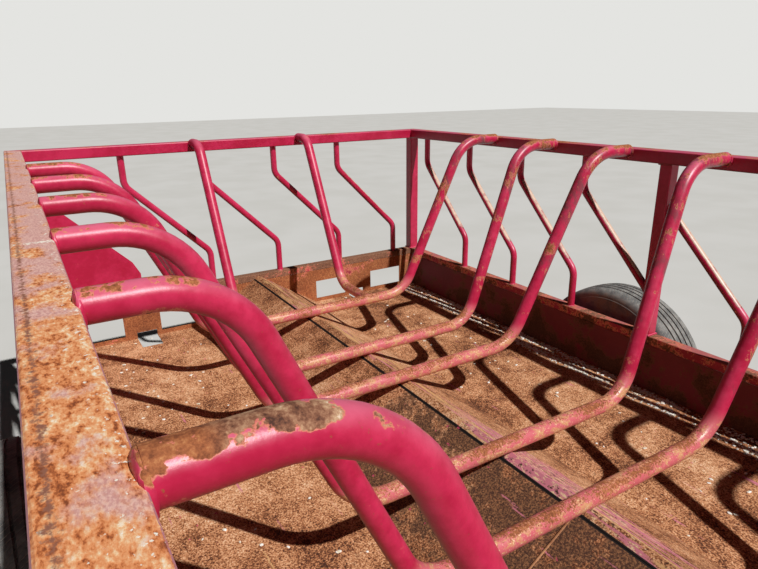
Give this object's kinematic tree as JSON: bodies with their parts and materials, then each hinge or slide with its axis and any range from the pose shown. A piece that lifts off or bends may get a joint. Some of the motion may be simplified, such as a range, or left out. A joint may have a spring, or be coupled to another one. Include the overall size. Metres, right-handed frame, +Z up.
{
  "type": "hay feeder wagon",
  "caption": "Towed hay feeder wagon: a long slatted box with bent pipe cradles over a ridged floor, outboard rear wheels, a swivelling front truck and a hinged tongue.",
  "frame": {"origin": "on the ground under the middle of the overall length, from the rear rail to the hitch's tip", "axes": "+X forward to the hitch, +Y to the wagon's left, +Z up"},
  "size_m": [8.5858, 2.7676, 1.4951],
  "materials": {
    "wagon_paint": "faded crimson paint with rust where hay and cattle rub it",
    "rusted_floor": "rusted sheet steel with remains of paint",
    "rim_paint": "dull weathered paint",
    "hub_iron": "dark and rusty",
    "bare_steel": "worn bare steel",
    "tyre": "weathered rubber"
  },
  "bodies": {
    "wagon_box": {"bale_cradles": "wagon_paint", "bottom_rail_left": "wagon_paint", "bottom_rail_right": "wagon_paint", "corner_posts": "wagon_paint", "cross_members": "wagon_paint", "end_plate_front": "wagon_paint", "end_plate_rear": "wagon_paint", "end_stays_front": "wagon_paint", "end_stays_rear": "wagon_paint", "filler_plate_front": "wagon_paint", "filler_plate_rear": "wagon_paint", "floor_left": "rusted_floor", "floor_right": "rusted_floor", "front_crossbar": "wagon_paint", "front_frame": "wagon_paint", "lower_posts": "wagon_paint", "rear_axle": "wagon_paint", "side_panel_left": "wagon_paint", "side_panel_right": "wagon_paint", "side_posts": "wagon_paint", "sill_front": "wagon_paint", "sill_left": "wagon_paint", "sill_rear": "wagon_paint", "sill_right": "wagon_paint", "slant_bars_front": "wagon_paint", "slant_bars_left": "wagon_paint", "slant_bars_rear": "wagon_paint", "slant_bars_right": "wagon_paint", "top_rail_front": "wagon_paint", "top_rail_left": "wagon_paint", "top_rail_rear": "wagon_paint", "top_rail_right": "wagon_paint"},
    "front_swivel": {"front_swivel": "wagon_paint", "kingpin_cap": "bare_steel"},
    "tongue": {"tongue": "wagon_paint", "hitch_clevis": "bare_steel"},
    "wheel_rear_left": {"tyre_rear_left": "tyre", "rim_rear_left": "rim_paint", "hub_rear_left": "hub_iron"},
    "wheel_rear_right": {"tyre_rear_right": "tyre", "rim_rear_right": "rim_paint", "hub_rear_right": "hub_iron"},
    "wheel_front_left": {"tyre_front_left": "tyre", "rim_front_left": "rim_paint", "hub_front_left": "hub_iron"},
    "wheel_front_right": {"tyre_front_right": "tyre", "rim_front_right": "rim_paint", "hub_front_right": "hub_iron"}
  },
  "joints": [
    {"name": "wheel_rear_left_spin", "type": "hinge", "parent": "wagon_box", "child": "wheel_rear_left", "pos_m": [-2.72091, 1.276, 0.405], "axis": [0, 1, 0], "continuous": true},
    {"name": "wheel_rear_right_spin", "type": "hinge", "parent": "wagon_box", "child": "wheel_rear_right", "pos_m": [-2.72091, -1.276, 0.405], "axis": [0, 1, 0], "continuous": true},
    {"name": "front_steer", "type": "hinge", "parent": "wagon_box", "child": "front_swivel", "pos_m": [2.44309, 0, 0.9], "axis": [0, 0, 1], "range_deg": [-75, 75]},
    {"name": "wheel_front_left_spin", "type": "hinge", "parent": "front_swivel", "child": "wheel_front_left", "pos_m": [2.44309, 0.235, 0.405], "axis": [0, 1, 0], "continuous": true},
    {"name": "wheel_front_right_spin", "type": "hinge", "parent": "front_swivel", "child": "wheel_front_right", "pos_m": [2.44309, -0.235, 0.405], "axis": [0, 1, 0], "continuous": true},
    {"name": "tongue_lift", "type": "hinge", "parent": "front_swivel", "child": "tongue", "pos_m": [2.56309, 0, 0.33], "axis": [0, -1, 0], "range_deg": [0, 60]}
  ]
}
